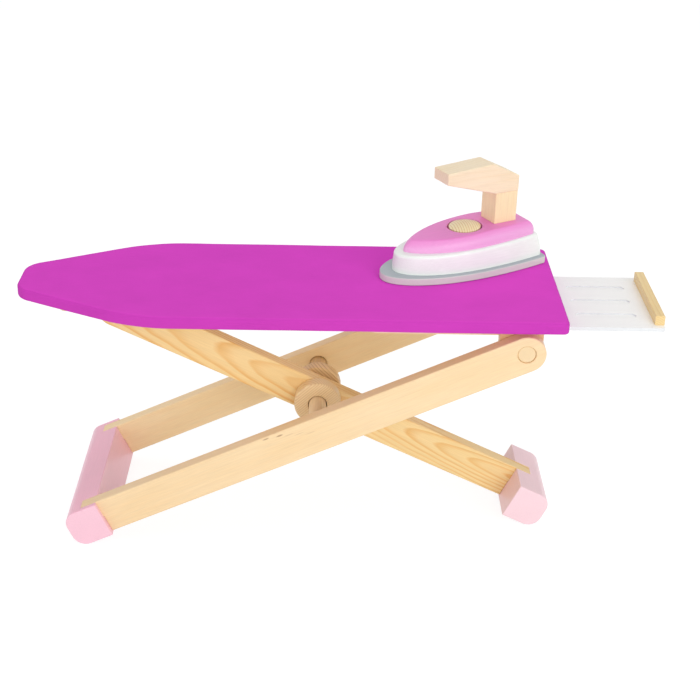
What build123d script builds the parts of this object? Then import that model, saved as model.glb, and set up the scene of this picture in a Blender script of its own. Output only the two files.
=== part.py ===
# Toy ironing board with folding wooden legs, a pull-out iron rest and a toy iron.
# Millimetres. X runs along the board, from the nose to the iron rest, Y goes to the rear
# and Z is up. The origin lies on the floor, below the middle of the board.
from build123d import *
import math
import os

os.makedirs("parts", exist_ok=True)

# Board outline, seen from above
board_length = 570
board_width = 200
nose_width = 62            # where the tapered sides would meet the end line
taper_length = 131         # from the nose end to where the taper would meet the full width
shoulder_radius = 140
nose_corner_radius = 24
end_corner_radius = 7

# Layers of the board, from the bottom up
panel_thickness = 8
padding_thickness = 2.5
cloth_thickness = 1.0
hem_width = 20
cover_edge_radius = 3

# Folding legs. The outer pair turns on the top pivot, and the centre leg crosses it.
top_pivot_x = 245
pivot_drop = 40.6          # from the top of the cover down to the top pivot
pivot_to_crossing = 235
pivot_to_foot = 507        # to the middle of the long foot bar, along the leg
outer_leg_angle = 24.6     # degrees from the floor, as it stands
centre_leg_angle = 25.6
fold_angle = 19            # degrees that the outer legs turn when it is folded
leg_width = 40
outer_leg_thickness = 15
leg_inset = 10             # from the long edges of the board to the outer faces of the pair
centre_leg_thickness = 16
crossing_to_top = 240      # to the middle of the centre leg's round top end
centre_follow = 0.98       # degrees that the centre leg turns for each degree of the outer legs
leg_edge = 0.8             # eased edges of the strips

# Foot bars
foot_depth = 41            # along the leg
foot_height = 42           # across the leg
foot_radius = 15
foot_edge = 1.5
foot_overhang = 6          # of the long bar, beyond the outer legs
right_foot_length = 94
tongue_length = 18
tongue_height = 20

# Dowels and discs
dowel_diameter = 19
running_clearance = 0.1
pivot_recess = 1.5         # of the top dowel's ends in the outer legs
blind_hole_depth = 10
mouth_width = 0.9          # groove around the mouth of a blind hole
mouth_depth = 1.5
disc_diameter = 51
disc_thickness = 15
disc_hole_diameter = 21
disc_edge = 1.2
rear_disc_gap = 7          # between the centre leg and the rear disc
end_dowel_diameter = 8
end_dowel_reach = 244      # from the crossing, along the centre leg
end_dowel_rise = 10        # above the middle of the centre leg
end_dowel_overhang = 2

# Blocks that hold the top pivot under the board
block_thickness = 12.5
block_left_reach = 27
block_right_reach = 18
block_bottom_reach = 16
block_corner_radius = 15
side_gap = 0.3

# Slotted rails that guide the top end of the centre leg
rail_thickness = 12
rail_side_gap = 0.5
rail_end_wood = 10
rail_bottom_wood = 3
rail_corner_radius = 8
lane_play = 0.5
notch_rise = 3
notch_pitch = 14
notch_count = 3

# Pull-out iron rest
tray_drop = 19.5           # from the top of the cover down to the top of the tray
tray_length = 200
block_wall = 9.4           # wood left beside the tray's groove in the hinge blocks
tray_thickness = 4
tray_reach = 105           # beyond the end of the board, as it stands
tray_corner_radius = 3
tray_slide_clearance = 0.3
tray_edge_held = 6.3       # how far the tray's long edges sit in their runners
groove_count = 3
groove_length = 64
groove_width = 10
groove_depth = 1.5
groove_spacing = 35
groove_offset = 16         # from the end of the board to the near ends of the grooves
bar_width = 10
bar_height = 10.5
bar_end_inset = 7          # from the tray's long edges
bar_edge = 0.8
bar_pin_diameter = 4
bar_pin_length = 11
bar_pin_inset = 18         # from the ends of the bar
runner_length = 130
runner_width = 13
runner_lip = 3.2
stop_strip_width = 12
stop_strip_gap = 1.5
stop_peg_diameter = 6
stop_peg_height = 10
stop_peg_side_inset = 25   # from the tray's long edges
stop_peg_inset = 10.7      # from the tray's inner end

# Wood screws, countersunk
screw_length = 18
screw_head_diameter = 7
screw_head_height = 2.4
screw_shank_diameter = 3.5
screw_point_length = 3
block_screw_spacing = 24
runner_screw_inset = 18
rail_screw_inset = 5.5

# Toy iron. Its outline starts at the tip of the sole.
iron_tip_x = 98.0
iron_tip_y = 1.8
iron_turn = 28.5           # degrees that its heel is turned to the rear
iron_rest_gap = 0.3
sole_length = 188
sole_width = 89
sole_heel_width = 75
sole_thickness = 8
sole_edge = 1.2
iron_widest = 107          # from the tip to the widest place
nose_depth = 8             # from the tip to where the nose arc meets the sides
nose_arc_width = 37
heel_corner_radius = 6
nose_blend_radius = 10     # between the nose arc and the sides
body_height = 25           # at the heel
body_front_inset = 12.5
body_heel_inset = 4
body_width = 75.5
body_heel_width = 62
body_nose_width = 29
body_radius = 5
seam_slope = 1.7           # degrees that the body's top falls towards the nose
cap_front_inset = 26
cap_heel_inset = 10
cap_width = 65
cap_heel_width = 53
cap_nose_width = 18
cap_top_rise = 38.2        # from the sole to the level part of the cap's top
cap_slope = 3.7            # degrees that the cap's top falls towards the nose, before the post
cap_slope_gap = 7          # from the post to the start of that slope
cap_radius = 7
dial_to_post = 29.5        # from the dial's middle to the post
dial_diameter = 34.5
dial_height = 8.5
dial_edge_height = 4.8
dial_recess_diameter = 38.5
dial_recess_depth = 5
dial_floor_gap = 0.3
dial_pin_diameter = 6
dial_pin_length = 9
dial_pin_engagement = 4
post_heel_inset = 18       # from the heel of the cap
post_length = 28.5
post_width = 27
post_height = 34.5
post_edge = 0.8
grip_reach = 63            # of the grip's front end, before the post
grip_front_height = 12.5
grip_front_rise = 19       # from the post's top to the grip's front lower edge
grip_apex_reach = 6
grip_apex_rise = 34.5
grip_back_rise = 17
grip_width = 28
grip_edge = 1.0
handle_dowel_diameter = 8
handle_dowel_bite = 14     # into the post at either end, and into the grip
cap_dowel_depth = 24       # through the cap into the body
sole_screw_front_x = 40
sole_screw_heel_inset = 38
sole_screw_spacing = 36

# One overrun serves every cut that goes right through
overrun = 5

# Levels and places that follow
half_length = board_length / 2
half_width = board_width / 2
half_leg = leg_width / 2
outer_face = half_width - leg_inset
inner_face = outer_face - outer_leg_thickness
half_centre_leg = centre_leg_thickness / 2
left_foot_length = 2 * (outer_face + foot_overhang)
leg_sine = math.sin(math.radians(outer_leg_angle))
leg_cosine = math.cos(math.radians(outer_leg_angle))
centre_sine = math.sin(math.radians(centre_leg_angle))
centre_cosine = math.cos(math.radians(centre_leg_angle))
foot_round_along = foot_depth / 2 - foot_radius
foot_round_across = foot_height - half_leg - foot_radius

# Both feet rest on the floor on the rounded lower edge of their bars
top_pivot_z = (pivot_to_foot + foot_round_along) * leg_sine + foot_round_across * leg_cosine + foot_radius
crossing_x = top_pivot_x - pivot_to_crossing * leg_cosine
crossing_z = top_pivot_z - pivot_to_crossing * leg_sine
centre_foot_reach = (crossing_z - foot_radius - foot_round_across * centre_cosine) / centre_sine
crossing_to_foot = centre_foot_reach - foot_round_along

board_top = top_pivot_z + pivot_drop
padding_top = board_top - cloth_thickness
panel_top = padding_top - padding_thickness
panel_bottom = panel_top - panel_thickness
hem_bottom = panel_bottom - cloth_thickness
tray_top = board_top - tray_drop
tray_bottom = tray_top - tray_thickness
iron_floor = board_top + iron_rest_gap
sole_top = iron_floor + sole_thickness
body_top = sole_top + body_height
cap_top = sole_top + cap_top_rise
post_top = cap_top + post_height

# Places along the iron, from the tip of its sole
post_x = sole_length - cap_heel_inset - post_heel_inset - post_length
grip_front_x = post_x - grip_reach
grip_apex_x = post_x - grip_apex_reach
dial_x = post_x - dial_to_post
sole_screw_back_x = sole_length - sole_screw_heel_inset
body_heel_x = sole_length - body_heel_inset
cap_heel_x = sole_length - cap_heel_inset
slope_x = post_x - cap_slope_gap
nose_seam_z = body_top - body_heel_x * math.tan(math.radians(seam_slope))
nose_top_z = cap_top - slope_x * math.tan(math.radians(cap_slope))
dial_face_z = cap_top - (slope_x - dial_x) * math.tan(math.radians(cap_slope))


def lane_point(turn):
    """Place of the centre leg's end dowel when the outer legs have turned by so many degrees."""
    span = math.hypot(end_dowel_reach, end_dowel_rise)
    outer = math.radians(outer_leg_angle - turn)
    centre = math.radians(centre_leg_angle - centre_follow * turn)
    centre += math.atan2(end_dowel_rise, end_dowel_reach)
    x = top_pivot_x - pivot_to_crossing * math.cos(outer) - span * math.cos(centre)
    z = top_pivot_z - pivot_to_crossing * math.sin(outer) + span * math.sin(centre)
    return x, z


def finish(piece, name):
    """Labels a finished piece and writes its file."""
    piece.part.label = name
    export_step(piece.part, f"parts/{name}.step")


def board_outline(level, inset):
    """Flat outline of the board, drawn in on every side."""
    with BuildSketch(Plane.XY.offset(level)) as outline:
        with BuildLine():
            Polyline(
                (half_length, half_width),
                (taper_length - half_length, half_width),
                (-half_length, nose_width / 2),
                (-half_length, -nose_width / 2),
                (taper_length - half_length, -half_width),
                (half_length, -half_width),
                close=True,
            )
        make_face()
        fillet(outline.vertices().group_by(Axis.X)[-1], end_corner_radius)
        fillet(outline.vertices().group_by(Axis.X)[0], nose_corner_radius)
        shoulders = outline.vertices().filter_by(
            lambda corner: abs(corner.X - taper_length + half_length) < cloth_thickness)
        fillet(shoulders, shoulder_radius)
        if inset:
            offset(amount=-inset, kind=Kind.INTERSECTION)
    return outline.sketch


# Each leg has its own plane: local X runs down the leg and local Y across it, upwards
def outer_leg_plane(y):
    return Plane(origin=(top_pivot_x, y, top_pivot_z),
                 x_dir=(-leg_cosine, 0, -leg_sine), z_dir=(0, 1, 0))


def centre_leg_plane(y):
    return Plane(origin=(crossing_x, y, crossing_z),
                 x_dir=(centre_cosine, 0, -centre_sine), z_dir=(0, -1, 0))


def countersunk_screw(head_top, pointing=-1):
    """Screw whose flat head lies at a level, pointing down, or up where pointing is 1."""
    head = screw_head_diameter / 2
    shank = screw_shank_diameter / 2
    with BuildPart() as screw:
        with BuildSketch(Plane.XZ):
            with BuildLine():
                Polyline(
                    (0, head_top),
                    (head, head_top),
                    (shank, head_top + pointing * screw_head_height),
                    (shank, head_top + pointing * (screw_length - screw_point_length)),
                    (0, head_top + pointing * screw_length),
                    close=True,
                )
            make_face()
        revolve(axis=Axis.Z)
    return screw.part


block_middle_x = top_pivot_x + (block_right_reach - block_left_reach) / 2
block_outer_y = inner_face - side_gap
block_middle_y = block_outer_y - block_thickness / 2
groove_wall_y = block_outer_y - block_wall
tray_width = 2 * (groove_wall_y - tray_slide_clearance)
runner_outer_y = tray_width / 2 - tray_edge_held + runner_width
runner_middle_y = runner_outer_y - runner_width / 2
runner_right_x = top_pivot_x - block_left_reach - side_gap
runner_left_x = runner_right_x - runner_length
rail_middle_y = half_centre_leg + rail_side_gap + rail_thickness / 2

# The lane is as high as the end dowel's path needs
lane_right_x, lane_rest_z = lane_point(0)
lane_left_x, lane_folded_z = lane_point(fold_angle)
lane_middle_z = (lane_rest_z + lane_folded_z) / 2
lane_radius = end_dowel_diameter / 2 + lane_play
rail_left_x = lane_left_x - lane_radius - rail_end_wood
rail_right_x = lane_right_x + lane_radius + rail_end_wood
rail_bottom = lane_middle_z - lane_radius - rail_bottom_wood

# Screws from above hold the blocks, the runners and the rails to the panel
screw_wall_y = (groove_wall_y + runner_outer_y) / 2
panel_screw_places = []
for side in (-1, 1):
    for x in (block_middle_x - block_screw_spacing / 2, block_middle_x + block_screw_spacing / 2):
        panel_screw_places.append((x, side * (block_middle_y + side_gap)))
    for x in (runner_left_x + runner_screw_inset, runner_right_x - runner_screw_inset):
        panel_screw_places.append((x, side * screw_wall_y))
    for x in (rail_left_x + rail_screw_inset, rail_right_x - rail_screw_inset):
        panel_screw_places.append((x, side * rail_middle_y))
panel_screw = countersunk_screw(panel_top)

# Board panel, a shaped sheet of plywood
with BuildPart() as board_panel:
    extrude(board_outline(panel_bottom, cloth_thickness), amount=panel_thickness)
    with Locations(*panel_screw_places):
        add(panel_screw, mode=Mode.SUBTRACT)
finish(board_panel, "board_panel")

# Screws that carry the wood under the board
with BuildPart() as panel_screws:
    with Locations(*panel_screw_places):
        add(panel_screw)
finish(panel_screws, "panel_screws")

# Felt padding between panel and cloth, rounded along its top edge
with BuildPart() as padding:
    extrude(board_outline(panel_top, cloth_thickness), amount=padding_thickness)
    fillet(padding.faces().sort_by(Axis.Z)[-1].edges(), cover_edge_radius - cloth_thickness)
finish(padding, "padding")

# Cloth cover, drawn over the padding and turned under the panel in a flat hem
with BuildPart() as cover_cloth:
    extrude(board_outline(hem_bottom, 0), amount=board_top - hem_bottom)
    fillet(cover_cloth.faces().sort_by(Axis.Z)[-1].edges(), cover_edge_radius)
    extrude(board_outline(panel_bottom, cloth_thickness), amount=panel_thickness, mode=Mode.SUBTRACT)
    add(padding.part, mode=Mode.SUBTRACT)
    extrude(board_outline(hem_bottom, hem_width), amount=cloth_thickness, mode=Mode.SUBTRACT)
finish(cover_cloth, "cover_cloth")

# Blocks under the board that hold the top pivot dowel and guide the tray's edges
for side, name in ((-1, "hinge_block_front"), (1, "hinge_block_rear")):
    block_plane = Plane(origin=(top_pivot_x, side * block_middle_y, top_pivot_z),
                        x_dir=(1, 0, 0), z_dir=(0, -1, 0))
    with BuildPart() as hinge_block:
        with BuildSketch(block_plane) as profile:
            with BuildLine():
                Polyline(
                    (-block_left_reach, panel_bottom - top_pivot_z),
                    (-block_left_reach, -block_bottom_reach),
                    (block_right_reach, -block_bottom_reach),
                    (block_right_reach, panel_bottom - top_pivot_z),
                    close=True,
                )
            make_face()
            fillet(profile.vertices().group_by(Axis.Y)[0], block_corner_radius)
            Circle(dowel_diameter / 2, mode=Mode.SUBTRACT)
        extrude(amount=block_thickness / 2, both=True)
        with BuildSketch(Plane.XY.offset(tray_bottom - tray_slide_clearance)):
            with Locations((block_middle_x, 0)):
                Rectangle(block_left_reach + block_right_reach + 2 * overrun, 2 * groove_wall_y)
        extrude(amount=tray_thickness + 2 * tray_slide_clearance, mode=Mode.SUBTRACT)
        with Locations(*panel_screw_places):
            add(panel_screw, mode=Mode.SUBTRACT)
    finish(hinge_block, name)

# Dowel that the outer legs turn on
with BuildPart() as top_pivot_dowel:
    with BuildSketch(Plane(origin=(top_pivot_x, 0, top_pivot_z), z_dir=(0, 1, 0))):
        Circle(dowel_diameter / 2)
    extrude(amount=outer_face - pivot_recess, both=True)
    chamfer(top_pivot_dowel.edges().filter_by(GeomType.CIRCLE), leg_edge)
finish(top_pivot_dowel, "top_pivot_dowel")

# Grooved runners that carry the tray's long edges
for side, name in ((-1, "tray_runner_front"), (1, "tray_runner_rear")):
    runner_bottom = tray_bottom - tray_slide_clearance - runner_lip
    with BuildPart() as tray_runner:
        with BuildSketch(Plane.XY.offset(runner_bottom)):
            with Locations((runner_right_x - runner_length / 2, side * runner_middle_y)):
                Rectangle(runner_length, runner_width)
        extrude(amount=panel_bottom - runner_bottom)
        with BuildSketch(Plane.XY.offset(tray_bottom - tray_slide_clearance)):
            with Locations((runner_right_x - runner_length / 2, 0)):
                Rectangle(runner_length + 2 * overrun, 2 * groove_wall_y)
        extrude(amount=tray_thickness + 2 * tray_slide_clearance, mode=Mode.SUBTRACT)
        with Locations(*panel_screw_places):
            add(panel_screw, mode=Mode.SUBTRACT)
    finish(tray_runner, name)

# Strip across the runners that stops the tray's pegs
tray_right_x = half_length + tray_reach
tray_left_x = tray_right_x - tray_length
stop_peg_x = tray_left_x + stop_peg_inset
stop_strip_left_x = stop_peg_x + stop_peg_diameter / 2 + side_gap
runner_inner_y = runner_outer_y - runner_width
with BuildPart() as tray_stop_strip:
    with BuildSketch(Plane.XY.offset(tray_top + stop_strip_gap)):
        with Locations((stop_strip_left_x + stop_strip_width / 2, 0)):
            Rectangle(stop_strip_width, 2 * runner_inner_y)
    extrude(amount=panel_bottom - tray_top - stop_strip_gap)
finish(tray_stop_strip, "tray_stop_strip")

# Slotted rails: the end dowel of the centre leg slides in the lane, and the notches above
# it catch the dowel when the board is set down on its legs
for side, name in ((-1, "leg_rail_front"), (1, "leg_rail_rear")):
    rail_plane = Plane(origin=(0, side * rail_middle_y, 0), x_dir=(1, 0, 0), z_dir=(0, -1, 0))
    with BuildPart() as leg_rail:
        with BuildSketch(rail_plane) as profile:
            with Locations(((rail_left_x + rail_right_x) / 2, (panel_bottom + rail_bottom) / 2)):
                Rectangle(rail_right_x - rail_left_x, panel_bottom - rail_bottom)
            fillet(profile.vertices().group_by(Axis.Y)[0], rail_corner_radius)
            with Locations(((lane_left_x + lane_right_x) / 2, lane_middle_z)):
                SlotCenterToCenter(lane_right_x - lane_left_x, 2 * lane_radius, mode=Mode.SUBTRACT)
            for notch in range(notch_count):
                with Locations((lane_right_x - notch * notch_pitch, lane_middle_z + notch_rise)):
                    Circle(lane_radius, mode=Mode.SUBTRACT)
        extrude(amount=rail_thickness / 2, both=True)
        with Locations(*panel_screw_places):
            add(panel_screw, mode=Mode.SUBTRACT)
    finish(leg_rail, name)


def leg_profile(plane, round_end, shoulder, holes):
    """Strip with one round end, and a tongue in its upper half that is let into the foot bar."""
    with BuildSketch(plane) as profile:
        with Locations(((round_end + shoulder) / 2, 0)):
            Rectangle(shoulder - round_end, leg_width)
        with Locations((round_end, 0)):
            Circle(half_leg)
        with Locations((shoulder + tongue_length / 2, half_leg - tongue_height / 2)):
            Rectangle(tongue_length, tongue_height)
        for along, rise, diameter in holes:
            with Locations((along, rise)):
                Circle(diameter / 2, mode=Mode.SUBTRACT)
    return profile.sketch


def foot_profile(plane, middle):
    """Section of a foot bar: square towards the leg and rounded away from it."""
    with BuildSketch(plane) as profile:
        with Locations((middle, half_leg - foot_height / 2)):
            Rectangle(foot_depth, foot_height)
        fillet(profile.vertices().group_by(Axis.X)[-1], foot_radius)
    return profile.sketch


outer_shoulder = pivot_to_foot - foot_depth / 2
centre_shoulder = crossing_to_foot - foot_depth / 2
pivot_hole = dowel_diameter + 2 * running_clearance

# Outer legs, front and rear: the top pivot goes right through, and the crossing is a blind hole
# with a groove around its mouth
for side, name in ((-1, "outer_leg_front"), (1, "outer_leg_rear")):
    middle_y = side * (inner_face + outer_leg_thickness / 2)
    with BuildPart() as outer_leg:
        extrude(leg_profile(outer_leg_plane(middle_y), 0, outer_shoulder, [(0, 0, pivot_hole)]),
                amount=outer_leg_thickness / 2, both=True)
        chamfer(outer_leg.faces().filter_by(Axis.Y).edges(), leg_edge)
        with BuildSketch(outer_leg_plane(side * inner_face)):
            with Locations((pivot_to_crossing, 0)):
                Circle(dowel_diameter / 2)
        extrude(amount=side * blind_hole_depth, mode=Mode.SUBTRACT)
        with BuildSketch(outer_leg_plane(side * inner_face)):
            with Locations((pivot_to_crossing, 0)):
                Circle(dowel_diameter / 2 + mouth_width)
        extrude(amount=side * mouth_depth, mode=Mode.SUBTRACT)
    finish(outer_leg, name)

# Dowel through the crossing, glued into both outer legs
with BuildPart() as centre_pivot_dowel:
    with BuildSketch(outer_leg_plane(0)):
        with Locations((pivot_to_crossing, 0)):
            Circle(dowel_diameter / 2)
    extrude(amount=inner_face + blind_hole_depth, both=True)
finish(centre_pivot_dowel, "centre_pivot_dowel")

# Long foot bar, with a slot for the tongue of each outer leg
with BuildPart() as left_foot_bar:
    extrude(foot_profile(outer_leg_plane(0), pivot_to_foot), amount=left_foot_length / 2, both=True)
    fillet(left_foot_bar.faces().filter_by(Axis.Y).edges(), foot_edge)
    for side in (-1, 1):
        with BuildSketch(outer_leg_plane(side * inner_face)):
            with Locations((outer_shoulder + tongue_length / 2, half_leg - tongue_height / 2)):
                Rectangle(tongue_length, tongue_height)
        extrude(amount=side * outer_leg_thickness, mode=Mode.SUBTRACT)
finish(left_foot_bar, "left_foot_bar")

# Centre leg, on the same crossing, with the end dowel's hole high in its round top end
with BuildPart() as centre_leg:
    extrude(leg_profile(centre_leg_plane(0), -crossing_to_top, centre_shoulder,
                        [(0, 0, pivot_hole), (-end_dowel_reach, end_dowel_rise, end_dowel_diameter)]),
            amount=half_centre_leg, both=True)
    chamfer(centre_leg.faces().filter_by(Axis.Y).edges(), leg_edge)
finish(centre_leg, "centre_leg")

# Short foot bar of the centre leg
with BuildPart() as right_foot_bar:
    extrude(foot_profile(centre_leg_plane(0), crossing_to_foot), amount=right_foot_length / 2, both=True)
    fillet(right_foot_bar.faces().filter_by(Axis.Y).edges(), foot_edge)
    with BuildSketch(centre_leg_plane(0)):
        with Locations((centre_shoulder + tongue_length / 2, half_leg - tongue_height / 2)):
            Rectangle(tongue_length, tongue_height)
    extrude(amount=half_centre_leg, both=True, mode=Mode.SUBTRACT)
finish(right_foot_bar, "right_foot_bar")

# Discs on the crossing dowel: the front one is loose against the centre leg, and the rear one
# is glued to the dowel a little behind the leg
disc_places = [
    ("spacer_disc_front", -half_centre_leg - disc_thickness, disc_hole_diameter),
    ("spacer_disc_rear", half_centre_leg + rear_disc_gap, dowel_diameter),
]
for name, front_y, hole_diameter in disc_places:
    with BuildPart() as spacer_disc:
        with BuildSketch(centre_leg_plane(front_y)):
            Circle(disc_diameter / 2)
            Circle(hole_diameter / 2, mode=Mode.SUBTRACT)
        extrude(amount=-disc_thickness)
        rims = spacer_disc.edges().filter_by(GeomType.CIRCLE).group_by(SortBy.RADIUS)[-1]
        chamfer(rims, disc_edge)
    finish(spacer_disc, name)

# End dowel of the centre leg, which rides in both rails
with BuildPart() as leg_end_dowel:
    with BuildSketch(centre_leg_plane(0)):
        with Locations((-end_dowel_reach, end_dowel_rise)):
            Circle(end_dowel_diameter / 2)
    extrude(amount=rail_middle_y + rail_thickness / 2 + end_dowel_overhang, both=True)
    chamfer(leg_end_dowel.edges().filter_by(GeomType.CIRCLE), leg_edge)
finish(leg_end_dowel, "leg_end_dowel")

# Tray that pulls out to the right, with its grooves
bar_middle_x = tray_right_x - bar_width / 2
bar_length = tray_width - 2 * bar_end_inset
bar_pin_places = [(bar_middle_x, side * (bar_length / 2 - bar_pin_inset)) for side in (-1, 1)]
stop_peg_places = [(stop_peg_x, side * (tray_width / 2 - stop_peg_side_inset)) for side in (-1, 1)]
groove_middle_x = half_length + groove_offset + groove_length / 2
groove_first_y = -(groove_count - 1) / 2 * groove_spacing
with BuildPart() as tray_panel:
    with BuildSketch(Plane.XY.offset(tray_bottom)):
        with Locations((tray_right_x - tray_length / 2, 0)):
            RectangleRounded(tray_length, tray_width, tray_corner_radius)
        with Locations(*bar_pin_places):
            Circle(bar_pin_diameter / 2, mode=Mode.SUBTRACT)
        with Locations(*stop_peg_places):
            Circle(stop_peg_diameter / 2, mode=Mode.SUBTRACT)
    extrude(amount=tray_thickness)
    with BuildSketch(Plane.XY.offset(tray_top - groove_depth)):
        for groove in range(groove_count):
            with Locations((groove_middle_x, groove_first_y + groove * groove_spacing)):
                SlotOverall(groove_length, groove_width)
    extrude(amount=groove_depth, mode=Mode.SUBTRACT)
finish(tray_panel, "tray_panel")

# Bar across the tray's outer end, pinned from below
with BuildPart() as tray_end_bar:
    with BuildSketch(Plane.XY.offset(tray_top)):
        with Locations((bar_middle_x, 0)):
            Rectangle(bar_width, bar_length)
    extrude(amount=bar_height)
    chamfer(tray_end_bar.faces().sort_by(Axis.Z)[-1].edges(), bar_edge)
    with BuildSketch(Plane.XY.offset(tray_top)):
        with Locations(*bar_pin_places):
            Circle(bar_pin_diameter / 2)
    extrude(amount=bar_pin_length - tray_thickness, mode=Mode.SUBTRACT)
finish(tray_end_bar, "tray_end_bar")

with BuildPart() as tray_bar_pins:
    with BuildSketch(Plane.XY.offset(tray_bottom)):
        with Locations(*bar_pin_places):
            Circle(bar_pin_diameter / 2)
    extrude(amount=bar_pin_length)
finish(tray_bar_pins, "tray_bar_pins")

# Pegs in the tray's inner end that meet the stop strip
with BuildPart() as tray_stop_pegs:
    with BuildSketch(Plane.XY.offset(tray_bottom)):
        with Locations(*stop_peg_places):
            Circle(stop_peg_diameter / 2)
    extrude(amount=stop_peg_height)
finish(tray_stop_pegs, "tray_stop_pegs")


# The iron stands on the cover. Its own X runs from the tip of the sole to the heel.
def iron_plane(level):
    turn = math.radians(iron_turn)
    return Plane(origin=(iron_tip_x, iron_tip_y, level),
                 x_dir=(math.cos(turn), math.sin(turn), 0), z_dir=(0, 0, 1))


def iron_side_plane(level):
    turn = math.radians(iron_turn)
    return Plane(origin=(iron_tip_x, iron_tip_y, level),
                 x_dir=(math.cos(turn), math.sin(turn), 0), z_dir=(math.sin(turn), -math.cos(turn), 0))


def iron_outline(level, front, heel, width, heel_width, nose_width_here):
    """Outline with a round nose, bulging sides and a straight heel."""
    nose_x = front + nose_depth
    nose_y = nose_width_here / 2
    with BuildSketch(iron_plane(level)) as outline:
        with BuildLine():
            ThreePointArc((nose_x, nose_y), (front, 0), (nose_x, -nose_y))
            for side in (-1, 1):
                widest = (iron_widest, side * width / 2)
                TangentArc(widest, (nose_x, side * nose_y), tangent=(-1, 0))
                TangentArc(widest, (heel, side * heel_width / 2), tangent=(1, 0))
            Line((heel, -heel_width / 2), (heel, heel_width / 2))
        make_face()
        fillet(outline.vertices().group_by(Axis.X)[-1], heel_corner_radius)
        blends = outline.vertices().filter_by(lambda corner: abs(corner.X - nose_x) < sole_edge)
        fillet(blends, nose_blend_radius)
    return outline.sketch


def dial_plane(depth):
    """Plane under the slope of the cap's top and square to it, in the middle of the dial."""
    return iron_plane(0) * Pos(dial_x, 0, dial_face_z) * Rotation(0, -cap_slope, 0) * Pos(0, 0, -depth)


sole_screw = countersunk_screw(0, 1)
sole_screw_places = [(sole_screw_front_x, 0)]
for side in (-1, 1):
    sole_screw_places.append((sole_screw_back_x, side * sole_screw_spacing / 2))

# Grey sole plate, screwed on from below
with BuildPart() as iron_sole:
    extrude(iron_outline(iron_floor, 0, sole_length, sole_width, sole_heel_width, nose_arc_width),
            amount=sole_thickness)
    fillet(iron_sole.faces().sort_by(Axis.Z)[-1].edges(), sole_edge)
    with Locations(iron_plane(iron_floor)):
        with Locations(*sole_screw_places):
            add(sole_screw, mode=Mode.SUBTRACT)
finish(iron_sole, "iron_sole")

with BuildPart() as iron_sole_screws:
    with Locations(iron_plane(iron_floor)):
        with Locations(*sole_screw_places):
            add(sole_screw)
finish(iron_sole_screws, "iron_sole_screws")

# Upright dowels: one joins post, cap and body, the other joins post and grip
post_middle_x = post_x + post_length / 2
handle_dowel_spans = [
    (cap_top - cap_dowel_depth, cap_top + handle_dowel_bite),
    (post_top - handle_dowel_bite, post_top + handle_dowel_bite),
]
with BuildPart() as iron_handle_dowels:
    for bottom, top in handle_dowel_spans:
        with BuildSketch(iron_plane(bottom)):
            with Locations((post_middle_x, 0)):
                Circle(handle_dowel_diameter / 2)
        extrude(amount=top - bottom)
finish(iron_handle_dowels, "iron_handle_dowels")

# White body with a rounded top edge. Its top falls a little towards the nose.
with BuildPart() as iron_body:
    extrude(iron_outline(sole_top, body_front_inset, body_heel_x, body_width, body_heel_width,
                         body_nose_width), amount=body_height)
    with BuildSketch(iron_side_plane(0)):
        with BuildLine():
            Polyline(
                (0, sole_top),
                (body_heel_x, sole_top),
                (body_heel_x, body_top),
                (0, nose_seam_z),
                close=True,
            )
        make_face()
    extrude(amount=sole_width / 2, both=True, mode=Mode.INTERSECT)
    fillet(iron_body.faces().sort_by(Axis.Z)[-1].edges(), body_radius)
    with Locations(iron_plane(iron_floor)):
        with Locations(*sole_screw_places):
            add(sole_screw, mode=Mode.SUBTRACT)
    add(iron_handle_dowels.part, mode=Mode.SUBTRACT)
finish(iron_body, "iron_body")

# Pin in the middle of the dial's recess, square to the slope
dial_bottom_depth = dial_recess_depth - dial_floor_gap
pin_bottom_depth = dial_bottom_depth - dial_pin_engagement + dial_pin_length
with BuildPart() as iron_dial_pin:
    with BuildSketch(dial_plane(pin_bottom_depth)):
        Circle(dial_pin_diameter / 2)
    extrude(amount=dial_pin_length)
finish(iron_dial_pin, "iron_dial_pin")

# Pink cap with a deeply rounded top edge. Its top is level at the post and falls towards the nose.
with BuildPart() as iron_cap:
    extrude(iron_outline(sole_top, cap_front_inset, cap_heel_x, cap_width, cap_heel_width, cap_nose_width),
            amount=cap_top_rise)
    with BuildSketch(iron_side_plane(0)):
        with BuildLine():
            Polyline(
                (0, nose_seam_z),
                (body_heel_x, body_top),
                (body_heel_x, cap_top),
                (slope_x, cap_top),
                (0, nose_top_z),
                close=True,
            )
        make_face()
    extrude(amount=sole_width / 2, both=True, mode=Mode.INTERSECT)
    top_edges = [edge for face in iron_cap.faces().sort_by(Axis.Z)[-2:] for edge in face.edges()]
    rims = [edge for edge in top_edges if sum(edge.is_same(other) for other in top_edges) == 1]
    fillet(rims, cap_radius)
    with BuildSketch(dial_plane(dial_recess_depth)):
        Circle(dial_recess_diameter / 2)
    extrude(amount=dial_recess_depth + overrun, mode=Mode.SUBTRACT)
    add(iron_dial_pin.part, mode=Mode.SUBTRACT)
    add(iron_handle_dowels.part, mode=Mode.SUBTRACT)
finish(iron_cap, "iron_cap")

# Domed dial that turns on its pin
with BuildPart() as iron_dial:
    with BuildSketch(Plane.XZ):
        with BuildLine():
            TangentArc((0, dial_height), (dial_diameter / 2, dial_edge_height), tangent=(1, 0))
            Polyline((dial_diameter / 2, dial_edge_height), (dial_diameter / 2, 0), (0, 0), (0, dial_height))
        make_face()
    revolve(axis=Axis.Z)
    with BuildSketch(Plane.XY):
        Circle(dial_pin_diameter / 2 + running_clearance)
    extrude(amount=dial_pin_engagement + dial_floor_gap, mode=Mode.SUBTRACT)
iron_dial.part = dial_plane(dial_bottom_depth) * iron_dial.part
finish(iron_dial, "iron_dial")

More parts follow.
